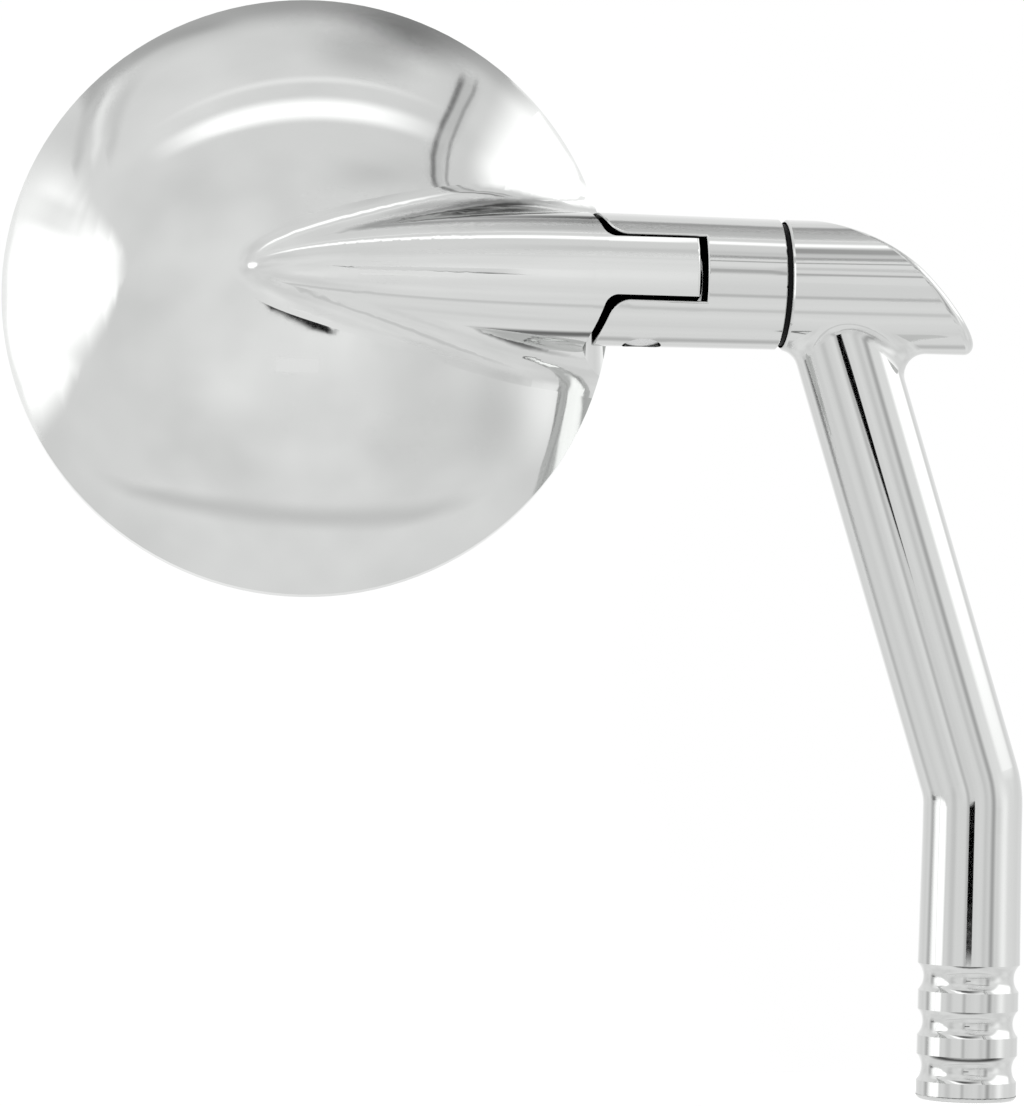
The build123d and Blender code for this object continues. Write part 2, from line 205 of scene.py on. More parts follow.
class FastenerSettings(bpy.types.PropertyGroup):
    """Sizes of the swivel screw."""

    thread_radius: bpy.props.FloatProperty(
        name="Thread radius",
        description="Outer radius of the screw's thread",
        unit="LENGTH",
        default=2.48 * MM,
    )
    thread_pitch: bpy.props.FloatProperty(
        name="Thread pitch",
        description="Pitch of the screw's thread",
        unit="LENGTH",
        default=0.8 * MM,
    )
    head_length: bpy.props.FloatProperty(
        name="Head length",
        description="Length of the screw's head",
        unit="LENGTH",
        default=5.0 * MM,
    )
    thread_length: bpy.props.FloatProperty(
        name="Thread length",
        description="Length of thread on the screw",
        unit="LENGTH",
        default=13.0 * MM,
    )
    hexagon: bpy.props.FloatProperty(
        name="Hexagon",
        description="Size across the flats of the socket",
        unit="LENGTH",
        default=4.0 * MM,
    )
    socket_depth: bpy.props.FloatProperty(
        name="Socket depth",
        description="Depth of the hexagon socket",
        unit="LENGTH",
        default=2.3 * MM,
    )


class PivotSettings(bpy.types.PropertyGroup):
    """Finish of the pin across the fork."""

    pin_roughness: bpy.props.FloatProperty(
        name="Pin roughness",
        description="Mean roughness that grinding leaves on the pin",
        subtype="FACTOR",
        default=0.2,
        min=0,
        max=1,
    )


class StudioSettings(bpy.types.PropertyGroup):
    """Camera and light of the studio."""

    camera_turn: bpy.props.FloatProperty(
        name="Camera turn",
        description="Turn of the camera round the mirror, from straight in front of the dome",
        subtype="ANGLE",
        default=radians(-7.8),
    )
    camera_roll: bpy.props.FloatProperty(
        name="Camera roll",
        description="Roll of the camera about its line of sight",
        subtype="ANGLE",
        default=radians(1.4),
    )
    camera_distance: bpy.props.FloatProperty(
        name="Camera distance",
        description="Distance from the camera to the middle of the mirror",
        unit="LENGTH",
        default=1.0,
    )
    focal_length: bpy.props.FloatProperty(
        name="Focal length",
        description="Focal length of the lens",
        unit="CAMERA",
        default=198.23,
    )
    softbox_level: bpy.props.FloatProperty(
        name="Softbox level",
        description="Brightness of the softboxes, where 1 is white",
        default=1.75,
        min=0,
    )


# Materials


def chrome_plate(settings):
    """Bright chrome over polished aluminium: a cool mirror with a breath of buffing haze."""
    material, tree = new_material("chrome plate")
    place = add(tree, "ShaderNodeTexCoord").outputs["Object"]
    # Buffing leaves long shallow waves, which bend the reflections very slightly
    wave_length = 9 * MM
    waves = add(
        tree, "ShaderNodeTexNoise", {"Vector": place, "Scale": 1 / wave_length, "Detail": 1.0}
    )
    flow = add(
        tree,
        "ShaderNodeBump",
        {"Strength": 0.06, "Distance": 0.05 * MM, "Height": waves.outputs["Fac"]},
    )
    # Haze from the finest polish, in specks coarser than the real ones so that it shows
    speck_width = 0.7 * MM
    uneven = 0.3
    specks = add(
        tree, "ShaderNodeTexNoise", {"Vector": place, "Scale": 1 / speck_width, "Detail": 3.0}
    )
    haze = add(
        tree,
        "ShaderNodeMapRange",
        {
            "Value": specks.outputs["Fac"],
            "From Min": 0.3,
            "From Max": 0.7,
            "To Min": settings.roughness * (1 - uneven),
            "To Max": settings.roughness * (1 + uneven),
        },
    )
    # Painted shade: where ambient occlusion finds another surface close by, in narrow gaps and
    # recesses, the plate's colour and edge tint are darkened to near black, so their walls stay
    # dark
    gap_shade_ao = add(tree, "ShaderNodeAmbientOcclusion", {"Distance": settings.gap_shade_reach}, samples=8)
    unshaded = add(
        tree,
        "ShaderNodeMapRange",
        {"Value": gap_shade_ao.outputs["AO"], "From Min": 0.45, "From Max": 0.78},
    )
    colour = add(
        tree,
        "ShaderNodeMix",
        {"Factor": unshaded.outputs[0], 6: linear("#0A0A0A"), 7: (*settings.colour, 1.0)},
        data_type="RGBA",
    )
    # The painted gap shade darkens the edge tint too, so gap walls stay dark at grazing angles
    sheen = add(
        tree, "ShaderNodeMix", {"Factor": unshaded.outputs[0], 6: BLACK, 7: WHITE}, data_type="RGBA"
    )
    # The thread in the foot: a ramp that climbs one pitch a turn, only inside the bore
    axes = add(tree, "ShaderNodeSeparateXYZ", {"Vector": place})
    angle = add(
        tree, "ShaderNodeMath", {0: axes.outputs["Y"], 1: axes.outputs["X"]}, operation="ARCTAN2"
    )
    turn = add(tree, "ShaderNodeMath", {0: angle.outputs[0], 1: 2 * pi}, operation="DIVIDE")
    climb = add(
        tree, "ShaderNodeMath", {0: axes.outputs["Z"], 1: settings.thread_pitch}, operation="DIVIDE"
    )
    phase = add(
        tree, "ShaderNodeMath", {0: climb.outputs[0], 1: turn.outputs[0]}, operation="SUBTRACT"
    )
    ridge = add(tree, "ShaderNodeMath", {0: phase.outputs[0], 1: 0.5}, operation="PINGPONG")
    flat = add(tree, "ShaderNodeVectorMath", {0: place, 1: (1, 1, 0)}, operation="MULTIPLY")
    radius = add(tree, "ShaderNodeVectorMath", {0: flat.outputs[0]}, operation="LENGTH")
    inside = add(
        tree,
        "ShaderNodeMath",
        {0: radius.outputs["Value"], 1: settings.thread_bore},
        operation="LESS_THAN",
    )
    below = add(
        tree,
        "ShaderNodeMath",
        {0: axes.outputs["Z"], 1: settings.thread_depth},
        operation="LESS_THAN",
    )
    bored = add(
        tree, "ShaderNodeMath", {0: inside.outputs[0], 1: below.outputs[0]}, operation="MULTIPLY"
    )
    cut = add(
        tree, "ShaderNodeMath", {0: ridge.outputs[0], 1: bored.outputs[0]}, operation="MULTIPLY"
    )
    thread = add(
        tree,
        "ShaderNodeBump",
        {
            "Strength": 1.0,
            "Distance": settings.thread_pitch,
            "Height": cut.outputs[0],
            "Normal": flow.outputs[0],
        },
    )
    finish_material(
        tree,
        {
            "Base Color": colour.outputs[2],
            "Metallic": 1.0,
            "Roughness": haze.outputs[0],
            "Specular Tint": sheen.outputs[2],
            "Normal": thread.outputs[0],
        },
    )
    return material


def sphere_centre(points):
    """Centre of the sphere that fits some points best."""
    rows = np.array([(*point, 0.5) for point in points])
    squares = (rows[:, :3] ** 2).sum(axis=1) / 2
    return Vector(np.linalg.lstsq(rows, squares, rcond=None)[0][:3])


def silvered_glass(settings, centre, edge, bulge, radius):
    """Convex float glass silvered on its back: a clean mirror with a greenish ground edge."""
    material, tree = new_material("silvered float glass")
    place = add(tree, "ShaderNodeTexCoord").outputs["Object"]
    reach = add(tree, "ShaderNodeVectorMath", {0: place, 1: centre}, operation="DISTANCE")
    ground = add(
        tree,
        "ShaderNodeMapRange",
        {
            "Value": reach.outputs["Value"],
            "From Min": edge - settings.ground_edge,
            "From Max": edge - settings.ground_edge * 0.7,
        },
    )
    colour = add(
        tree,
        "ShaderNodeMix",
        {"Factor": ground.outputs[0], 6: (*settings.silver, 1.0), 7: linear("#8FA79C")},
        data_type="RGBA",
    )
    metal = add(tree, "ShaderNodeMath", {0: 1.0, 1: ground.outputs[0]}, operation="SUBTRACT")
    # The mirroring face follows its sphere exactly, also at the pole, where the mesh is a thin fan
    skin = 0.2 * MM
    spoke = add(tree, "ShaderNodeVectorMath", {0: place, 1: bulge}, operation="SUBTRACT")
    height = add(tree, "ShaderNodeVectorMath", {0: spoke.outputs[0]}, operation="LENGTH")
    outside = add(
        tree,
        "ShaderNodeMath",
        {0: height.outputs["Value"], 1: radius - skin},
        operation="GREATER_THAN",
    )
    front = add(
        tree, "ShaderNodeMath", {0: outside.outputs[0], 1: metal.outputs[0]}, operation="MULTIPLY"
    )
    turned = add(
        tree,
        "ShaderNodeVectorTransform",
        {"Vector": spoke.outputs[0]},
        vector_type="NORMAL",
        convert_from="OBJECT",
        convert_to="WORLD",
    )
    normal = add(
        tree,
        "ShaderNodeMix",
        {
            "Factor": front.outputs[0],
            4: add(tree, "ShaderNodeNewGeometry").outputs["Normal"],
            5: turned.outputs[0],
        },
        data_type="VECTOR",
    )
    # Wiping leaves faint smears
    smear_length = 22 * MM
    smears = add(
        tree, "ShaderNodeTexNoise", {"Vector": place, "Scale": 1 / smear_length, "Detail": 4.0}
    )
    film = add(
        tree,
        "ShaderNodeMapRange",
        {
            "Value": smears.outputs["Fac"],
            "From Min": 0.45,
            "From Max": 0.75,
            "To Min": 0.008,
            "To Max": 0.03,
        },
    )
    ground_roughness = 0.35
    frost = add(
        tree,
        "ShaderNodeMath",
        {0: ground.outputs[0], 1: ground_roughness, 2: film.outputs[0]},
        operation="MULTIPLY_ADD",
    )
    finish_material(
        tree,
        {
            "Base Color": colour.outputs[2],
            "Metallic": metal.outputs[0],
            "Roughness": frost.outputs[0],
            "Normal": normal.outputs[1],
        },
    )
    return material


def moulded_rubber():
    """Black EPDM bead: soft grey sheen over a fine moulded grain."""
    material, tree = new_material("black EPDM rubber")
    place = add(tree, "ShaderNodeTexCoord").outputs["Object"]
    grain_width = 0.35 * MM
    grain = add(
        tree, "ShaderNodeTexNoise", {"Vector": place, "Scale": 1 / grain_width, "Detail": 3.0}
    )
    bump = add(
        tree,
        "ShaderNodeBump",
        {"Strength": 0.35, "Distance": 0.05 * MM, "Height": grain.outputs["Fac"]},
    )
    tone = add(
        tree,
        "ShaderNodeMix",
        {"Factor": grain.outputs["Fac"], 6: linear("#0F0F10"), 7: linear("#1C1C1D")},
        data_type="RGBA",
    )
    finish_material(
        tree,
        {"Base Color": tone.outputs[2], "Roughness": 0.58, "IOR": 1.52, "Normal": bump.outputs[0]},
    )
    return material


def foam_tape():
    """Black acrylic foam tape: matt, with open cells along its cut edge."""
    material, tree = new_material("black acrylic foam")
    place = add(tree, "ShaderNodeTexCoord").outputs["Object"]
    cell_width = 0.3 * MM
    cells = add(tree, "ShaderNodeTexVoronoi", {"Vector": place, "Scale": 1 / cell_width})
    bump = add(
        tree,
        "ShaderNodeBump",
        {"Strength": 0.6, "Distance": 0.08 * MM, "Height": cells.outputs["Distance"]},
    )
    tone = add(
        tree,
        "ShaderNodeMix",
        {"Factor": cells.outputs["Distance"], 6: linear("#131314"), 7: linear("#2A2A2B")},
        data_type="RGBA",
    )
    finish_material(
        tree,
        {"Base Color": tone.outputs[2], "Roughness": 0.9, "IOR": 1.48, "Normal": bump.outputs[0]},
    )
    return material


def turned_rings(tree, origin, axis, pitch):
    """Fine rings about an axis, as a lathe tool leaves them; gives their height."""
    place = add(tree, "ShaderNodeTexCoord").outputs["Object"]
    turn = along_axis(origin, axis).to_euler()
    # Radians that a wave texture runs through in a unit of length at a scale of 1
    wave_rate = 20
    local = add(
        tree,
        "ShaderNodeMapping",
        {"Vector": place, "Location": tuple(origin), "Rotation": tuple(turn)},
        vector_type="TEXTURE",
    )
    rings = add(
        tree,
        "ShaderNodeTexWave",
        {
            "Vector": local.outputs[0],
            "Scale": 2 * pi / (wave_rate * pitch),
            "Distortion": 0.6,
            "Detail": 2.0,
        },
        wave_type="RINGS",
        rings_direction="Z",
    )
    return rings.outputs["Fac"]


def turned_metal(name, code, roughness, origin, axis):
    """Lathe-turned metal: rings about the piece's axis catch the light."""
    material, tree = new_material(name)
    # Feed marks, coarser than the real ones so that they show
    feed = 0.25 * MM
    uneven = 0.2
    height = turned_rings(tree, origin, axis, feed)
    bump = add(tree, "ShaderNodeBump", {"Strength": 0.25, "Distance": 0.02 * MM, "Height": height})
    spread = add(
        tree,
        "ShaderNodeMapRange",
        {"Value": height, "To Min": roughness * (1 - uneven), "To Max": roughness * (1 + uneven)},
    )
    finish_material(
        tree,
        {
            "Base Color": linear(code),
            "Metallic": 1.0,
            "Roughness": spread.outputs[0],
            "Normal": bump.outputs[0],
        },
    )
    return material


def turned_acetal(name, origin, axis):
    """Black acetal, turned and greased: a dull black with faint tool rings."""
    material, tree = new_material(name)
    feed = 0.3 * MM
    height = turned_rings(tree, origin, axis, feed)
    bump = add(tree, "ShaderNodeBump", {"Strength": 0.3, "Distance": 0.02 * MM, "Height": height})
    tone = add(
        tree,
        "ShaderNodeMix",
        {"Factor": height, 6: linear("#050506"), 7: linear("#0B0B0C")},
        data_type="RGBA",
    )
    finish_material(
        tree,
        {
            "Base Color": tone.outputs[2],
            "Roughness": 0.55,
            "IOR": 1.48,
            "Specular IOR Level": 0.12,
            "Normal": bump.outputs[0],
        },
    )
    return material


def spring_steel():
    """Phosphated spring steel: dark, dull and slightly mottled."""
    material, tree = new_material("phosphated spring steel")
    place = add(tree, "ShaderNodeTexCoord").outputs["Object"]
    blotch_width = 0.8 * MM
    blotches = add(
        tree, "ShaderNodeTexNoise", {"Vector": place, "Scale": 1 / blotch_width, "Detail": 4.0}
    )
    tone = add(
        tree,
        "ShaderNodeMix",
        {"Factor": blotches.outputs["Fac"], 6: linear("#3A3835"), 7: linear("#5C5954")},
        data_type="RGBA",
    )
    finish_material(tree, {"Base Color": tone.outputs[2], "Metallic": 0.85, "Roughness": 0.48})
    return material


def sintered_bronze():
    """Oil-filled sintered bronze: warm, fine-pored metal."""
    material, tree = new_material("sintered bronze")
    place = add(tree, "ShaderNodeTexCoord").outputs["Object"]
    pore_width = 0.2 * MM
    pores = add(tree, "ShaderNodeTexVoronoi", {"Vector": place, "Scale": 1 / pore_width})
    bump = add(
        tree,
        "ShaderNodeBump",
        {"Strength": 0.4, "Distance": 0.03 * MM, "Height": pores.outputs["Distance"]},
    )
    tone = add(
        tree,
        "ShaderNodeMix",
        {"Factor": pores.outputs["Distance"], 6: linear("#7A5326"), 7: linear("#B58547")},
        data_type="RGBA",
    )
    finish_material(
        tree,
        {
            "Base Color": tone.outputs[2],
            "Metallic": 1.0,
            "Roughness": 0.4,
            "Normal": bump.outputs[0],
        },
    )
    return material


# Threaded screw


def ring_of_points(mesh, radius, height, flats=None):
    """One ring of a screw's body: round, or six-sided where flats gives its size across them."""
    ring = []
    for index in range(BODY_SIDES):
        angle = 2 * pi * index / BODY_SIDES
        reach = radius
        if flats:
            reach = flats / 2 / cos((angle + pi / 6) % (pi / 3) - pi / 6)
        ring.append(mesh.verts.new((reach * cos(angle), reach * sin(angle), height)))
    return ring


def screw_body(name, rings):
    """Closed body from rings of (radius, height, size across flats), first to last."""
    mesh = bmesh.new()
    loops = [ring_of_points(mesh, *ring) for ring in rings]
    for low, high in zip(loops, loops[1:]):
        for index, vert in enumerate(low):
            after = (index + 1) % len(low)
            mesh.faces.new((vert, low[after], high[after], high[index]))
    mesh.faces.new(list(reversed(loops[0])))
    mesh.faces.new(loops[-1])
    bmesh.ops.recalc_face_normals(mesh, faces=mesh.faces)
    data = bpy.data.meshes.new(name)
    mesh.to_mesh(data)
    mesh.free()
    piece = bpy.data.objects.new(name, data)
    bpy.context.scene.collection.objects.link(piece)
    return piece


def thread_tree(material):
    """Geometry Nodes tree that winds a V thread round a screw's body."""
    tree = bpy.data.node_groups.new("wound thread", "GeometryNodeTree")
    face = tree.interface
    face.new_socket("Geometry", in_out="INPUT", socket_type="NodeSocketGeometry")
    for name in ("Crest Radius", "Pitch", "Depth", "Length", "Start"):
        face.new_socket(name, in_out="INPUT", socket_type="NodeSocketFloat")
    face.new_socket("Geometry", in_out="OUTPUT", socket_type="NodeSocketGeometry")
    given = add(tree, "NodeGroupInput").outputs
    turns = add(tree, "ShaderNodeMath", {0: given["Length"], 1: given["Pitch"]}, operation="DIVIDE")
    half_depth = add(tree, "ShaderNodeMath", {0: given["Depth"], 1: 0.5}, operation="MULTIPLY")
    line_radius = add(
        tree,
        "ShaderNodeMath",
        {0: given["Crest Radius"], 1: half_depth.outputs[0]},
        operation="SUBTRACT",
    )
    helix = add(
        tree,
        "GeometryNodeCurveSpiral",
        {
            "Resolution": TURN_STEPS,
            "Rotations": turns.outputs[0],
            "Start Radius": line_radius.outputs[0],
            "End Radius": line_radius.outputs[0],
            "Height": given["Length"],
        },
    )
    upright = add(tree, "GeometryNodeSetCurveNormal", {"Curve": helix.outputs[0]}, mode="Z_UP")
    root = add(tree, "ShaderNodeMath", {0: given["Pitch"], 1: THREAD_ROOT}, operation="MULTIPLY")
    crest = add(tree, "ShaderNodeMath", {0: given["Pitch"], 1: THREAD_CREST}, operation="MULTIPLY")
    profile = add(
        tree,
        "GeometryNodeCurvePrimitiveQuadrilateral",
        {
            "Height": given["Depth"],
            "Bottom Width": root.outputs[0],
            "Top Width": crest.outputs[0],
            "Offset": 0.0,
        },
        mode="TRAPEZOID",
    )
    quarter = add(
        tree,
        "GeometryNodeTransform",
        {"Geometry": profile.outputs[0], "Rotation": (0, 0, radians(90))},
    )
    wound = add(
        tree,
        "GeometryNodeCurveToMesh",
        {"Curve": upright.outputs[0], "Profile Curve": quarter.outputs[0], "Fill Caps": True},
    )
    shift = add(tree, "ShaderNodeCombineXYZ", {"Z": given["Start"]})
    placed = add(
        tree,
        "GeometryNodeTransform",
        {"Geometry": wound.outputs[0], "Translation": shift.outputs[0]},
    )
    joined = add(tree, "GeometryNodeJoinGeometry")
    tree.links.new(given["Geometry"], joined.inputs[0])
    tree.links.new(placed.outputs[0], joined.inputs[0])
    real = add(tree, "GeometryNodeRealizeInstances", {"Geometry": joined.outputs[0]})
    dressed = add(
        tree, "GeometryNodeSetMaterial", {"Geometry": real.outputs[0], "Material": material}
    )
    add(tree, "NodeGroupOutput", {"Geometry": dressed.outputs[0]})
    return tree


def wind_thread(piece, material, sizes, place):
    """Run the thread tree on a screw's body and set the plain mesh in its place."""
    tree = thread_tree(material)
    modifier = piece.modifiers.new("thread", "NODES")
    modifier.node_group = tree
    for socket in tree.interface.items_tree:
        if socket.in_out == "INPUT" and socket.name in sizes:
            modifier[socket.identifier] = sizes[socket.name]
    ready = piece.evaluated_get(bpy.context.evaluated_depsgraph_get())
    mesh = bpy.data.meshes.new_from_object(ready)
    piece.modifiers.clear()
    # Joined geometry brings an empty slot ahead of the one that the tree sets
    mesh.materials.clear()
    mesh.materials.append(material)
    mesh.transform(place)
    mesh.name = piece.name
    mesh.shade_smooth()
    mesh.set_sharp_from_angle(angle=radians(30))
    piece.data = mesh


# Operators, one for each piece or group of like pieces


class MIRROR_OT_plate(bpy.types.Operator):
    """Plate the stem, the knuckle and the shell with chrome"""

    bl_idname = "mirror.plate"
    bl_label = "Plate with chrome"

    def execute(self, context):
        chrome = chrome_plate(context.scene.mirror_plating)
        for node in ("stem_elbow", "knuckle", "mirror_shell"):
            wear(node, chrome)
        return {"FINISHED"}


class MIRROR_OT_glaze(bpy.types.Operator):
    """Finish the glass, the tape behind it and the bead round it"""

    bl_idname = "mirror.glaze"
    bl_label = "Glaze"

    def execute(self, context):
        low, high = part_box("mirror_glass")
        centre = (low + high) / 2
        points = [vertex.co for vertex in NODES["mirror_glass"].data.vertices]

        def reach(point):
            return (point - centre).length

        edge = max(map(reach, points))
        pole = min((point for point in points if point.y > centre.y), key=reach)
        # Points of the mirroring face, well inside the edge
        inner = 0.8 * edge
        ahead = pole - centre
        face = [p for p in points if (p - centre).dot(ahead) > 0 and reach(p) < inner]
        bulge = sphere_centre(face)
        radius = (pole - bulge).length
        settings = context.scene.mirror_glazing
        wear("mirror_glass", silvered_glass(settings, centre, edge, bulge, radius))
        wear("glass_tape", foam_tape())
        wear("glass_bead", moulded_rubber())
        return {"FINISHED"}


class MIRROR_OT_swivel(bpy.types.Operator):
    """Make the swivel's threaded screw and finish its washers"""

    bl_idname = "mirror.swivel"
    bl_label = "Fasten the swivel"

    def execute(self, context):
        sizes = context.scene.mirror_fasteners
        axis = JOINTS["knuckle_swivel"]["axis"]
        origin = JOINTS["knuckle_swivel"]["pos_m"]
        low, high, head_r = span("swivel_screw", origin, axis)
        length = high - low
        depth = THREAD_DEPTH * sizes.thread_pitch
        # The thread's root sinks a little into the core
        core = sizes.thread_radius - depth * 0.95
        start = length - sizes.thread_length
        bevel = 0.35 * MM
        # The socket's round mouth lies just past the hexagon's corners
        hexagon = sizes.hexagon
        mouth = hexagon * 0.62
        mouth_depth = 0.1 * MM
        rings = (
            (0, sizes.socket_depth, hexagon),
            (0, mouth_depth, hexagon),
            (mouth, 0),
            (head_r - bevel, 0),
            (head_r, bevel),
            (head_r, sizes.head_length),
            (sizes.thread_radius, sizes.head_length),
            (sizes.thread_radius, start - depth),
            (core, start),
            (core, length - bevel),
            (core - bevel, length),
        )
        steel = turned_metal("turned stainless steel", "#B9BABA", 0.26, origin, axis)
        screw = screw_body("threaded_swivel_screw", rings)
        start_point = Vector(origin) + Vector(axis).normalized() * low
        wind_thread(
            screw,
            steel,
            {
                "Crest Radius": sizes.thread_radius,
                "Pitch": sizes.thread_pitch,
                "Depth": depth,
                "Length": sizes.thread_length - 2 * sizes.thread_pitch,
                "Start": start + sizes.thread_pitch / 2,
            },
            along_axis(start_point, axis),
        )
        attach(screw, "stem")
        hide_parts("swivel_screw")
        wear("swivel_flat_washer", steel)
        wear("swivel_spring_washers", spring_steel())
        wear("swivel_friction_washer", turned_acetal("turned black acetal, swivel", origin, axis))
        return {"FINISHED"}


class MIRROR_OT_pivot(bpy.types.Operator):
    """Finish the head pivot's pin, bush and washers"""

    bl_idname = "mirror.pivot"
    bl_label = "Fasten the pivot"

    def execute(self, context):
        axis = JOINTS["head_pivot"]["axis"]
        origin = JOINTS["head_pivot"]["pos_m"]
        acetal = turned_acetal("turned black acetal, pivot", origin, axis)
        wear("upper_pivot_washer", acetal)
        wear("lower_pivot_washer", acetal)
        wear("pivot_bush", sintered_bronze())
        roughness = context.scene.mirror_pivot.pin_roughness
        wear("pivot_pin", turned_metal("ground steel", "#C4C5C5", roughness, origin, axis))
        return {"FINISHED"}


# Studio


def aim(azimuth, elevation):
    """Unit direction: azimuth from straight in front of the dome to the right, then up."""
    turn, rise = radians(azimuth), radians(elevation)
    return Vector((sin(turn) * cos(rise), -cos(turn) * cos(rise), sin(rise)))


def card_mask(tree, softness, opacity, bounces):
    """How solid a card is: faded towards its edges, and clear before a number of reflections."""
    sheet = add(tree, "ShaderNodeUVMap", uv_map="sheet")
    axes = add(tree, "ShaderNodeSeparateXYZ", {"Vector": sheet.outputs[0]})
    depth = add(tree, "ShaderNodeLightPath").outputs["Ray Depth"]
    late = add(tree, "ShaderNodeMath", {0: depth, 1: bounces - 0.5}, operation="GREATER_THAN")
    mask = add(tree, "ShaderNodeMath", {0: late.outputs[0], 1: opacity}, operation="MULTIPLY")
    for axis, width in zip("XY", softness):
        inset = add(tree, "ShaderNodeMath", {0: axes.outputs[axis], 1: 0.5}, operation="PINGPONG")
        fade = add(
            tree,
            "ShaderNodeMapRange",
            {"Value": inset.outputs[0], "From Max": width},
            interpolation_type="SMOOTHSTEP",
        )
        mask = add(
            tree, "ShaderNodeMath", {0: mask.outputs[0], 1: fade.outputs[0]}, operation="MULTIPLY"
        )
    return mask.outputs[0]


def card_material(name, level, softness, opacity=1.0, bounces=1):
    """A card that glows evenly at a level."""
    material, tree = new_material(name)
    mask = card_mask(tree, softness, opacity, bounces)
    glow = add(tree, "ShaderNodeEmission", {"Color": WHITE, "Strength": level})
    clear = add(tree, "ShaderNodeBsdfTransparent")
    mixed = add(tree, "ShaderNodeMixShader", {0: mask, 1: clear.outputs[0], 2: glow.outputs[0]})
    add(tree, "ShaderNodeOutputMaterial", {"Surface": mixed.outputs[0]})
    return material


def scrim_material(name, level, softness, bounces=1):
    """A thin scrim that adds its light to what lies behind it."""
    material, tree = new_material(name)
    mask = card_mask(tree, softness, level, bounces)
    glow = add(tree, "ShaderNodeEmission", {"Color": WHITE, "Strength": mask})
    clear = add(tree, "ShaderNodeBsdfTransparent")
    both = add(tree, "ShaderNodeAddShader", {0: clear.outputs[0], 1: glow.outputs[0]})
    add(tree, "ShaderNodeOutputMaterial", {"Surface": both.outputs[0]})
    return material


def hang(name, points, faces, corners, material):
    """Add a card that only reflections see; corners are its points' places on the sheet."""
    data = bpy.data.meshes.new(name)
    data.from_pydata(points, [], faces)
    sheet = data.uv_layers.new(name="sheet")
    for loop in data.loops:
        sheet.data[loop.index].uv = corners[loop.vertex_index]
    data.materials.append(material)
    card = bpy.data.objects.new(name, data)
    bpy.context.scene.collection.objects.link(card)
    card.visible_camera = False
    card.visible_shadow = False
    return card


def flat_card(name, centre, facing, size, material):
    """A flat card centred on a point and turned to face another."""
    turn = (Vector(facing) - Vector(centre)).to_track_quat("Z", "Y")
    corners = ((0, 0), (1, 0), (1, 1), (0, 1))
    points = []
    for u, v in corners:
        offset = Vector(((u - 0.5) * size[0], (v - 0.5) * size[1], 0))
        points.append(turn @ offset + Vector(centre))
    return hang(name, points, [(0, 1, 2, 3)], corners, material)


def ribbon_card(name, centre, reach, route, material):
    """A card that follows a route of (azimuth, elevation, width) round a point, all in degrees."""
    stops = [aim(azimuth, elevation) for azimuth, elevation, _width in route]
    points, corners, faces = [], [], []
    for index, stop in enumerate(stops):
        ahead = stops[min(index + 1, len(stops) - 1)] - stops[max(index - 1, 0)]
        across = stop.cross(ahead).normalized() * tan(radians(route[index][2] / 2))
        for side in (-1, 1):
            points.append(Vector(centre) + (stop + across * side) * reach)
            corners.append((index / (len(stops) - 1), (side + 1) / 2))
        if index:
            faces.append((2 * index - 2, 2 * index, 2 * index + 1, 2 * index - 1))
    return hang(name, points, faces, corners, material)


def even(width, *stops):
    """A ribbon's route of one width through stops of (azimuth, elevation)."""
    return [(*stop, width) for stop in stops]


def link_light(card, state, nodes):
    """Light only some pieces with a card, state INCLUDE, or all but those, state EXCLUDE."""
    group = bpy.data.collections.new(f"{card.name}_receivers")
    for node in nodes:
        group.objects.link(NODES[node])
    for member in group.collection_objects:
        member.light_linking.link_state = state
    card.light_linking.receiver_collection = group


def keep_dark_in(card, *nodes):
    """Let some pieces mirror a card as dark, while the others see it as part of the tent."""
    link_light(card, "EXCLUDE", nodes)


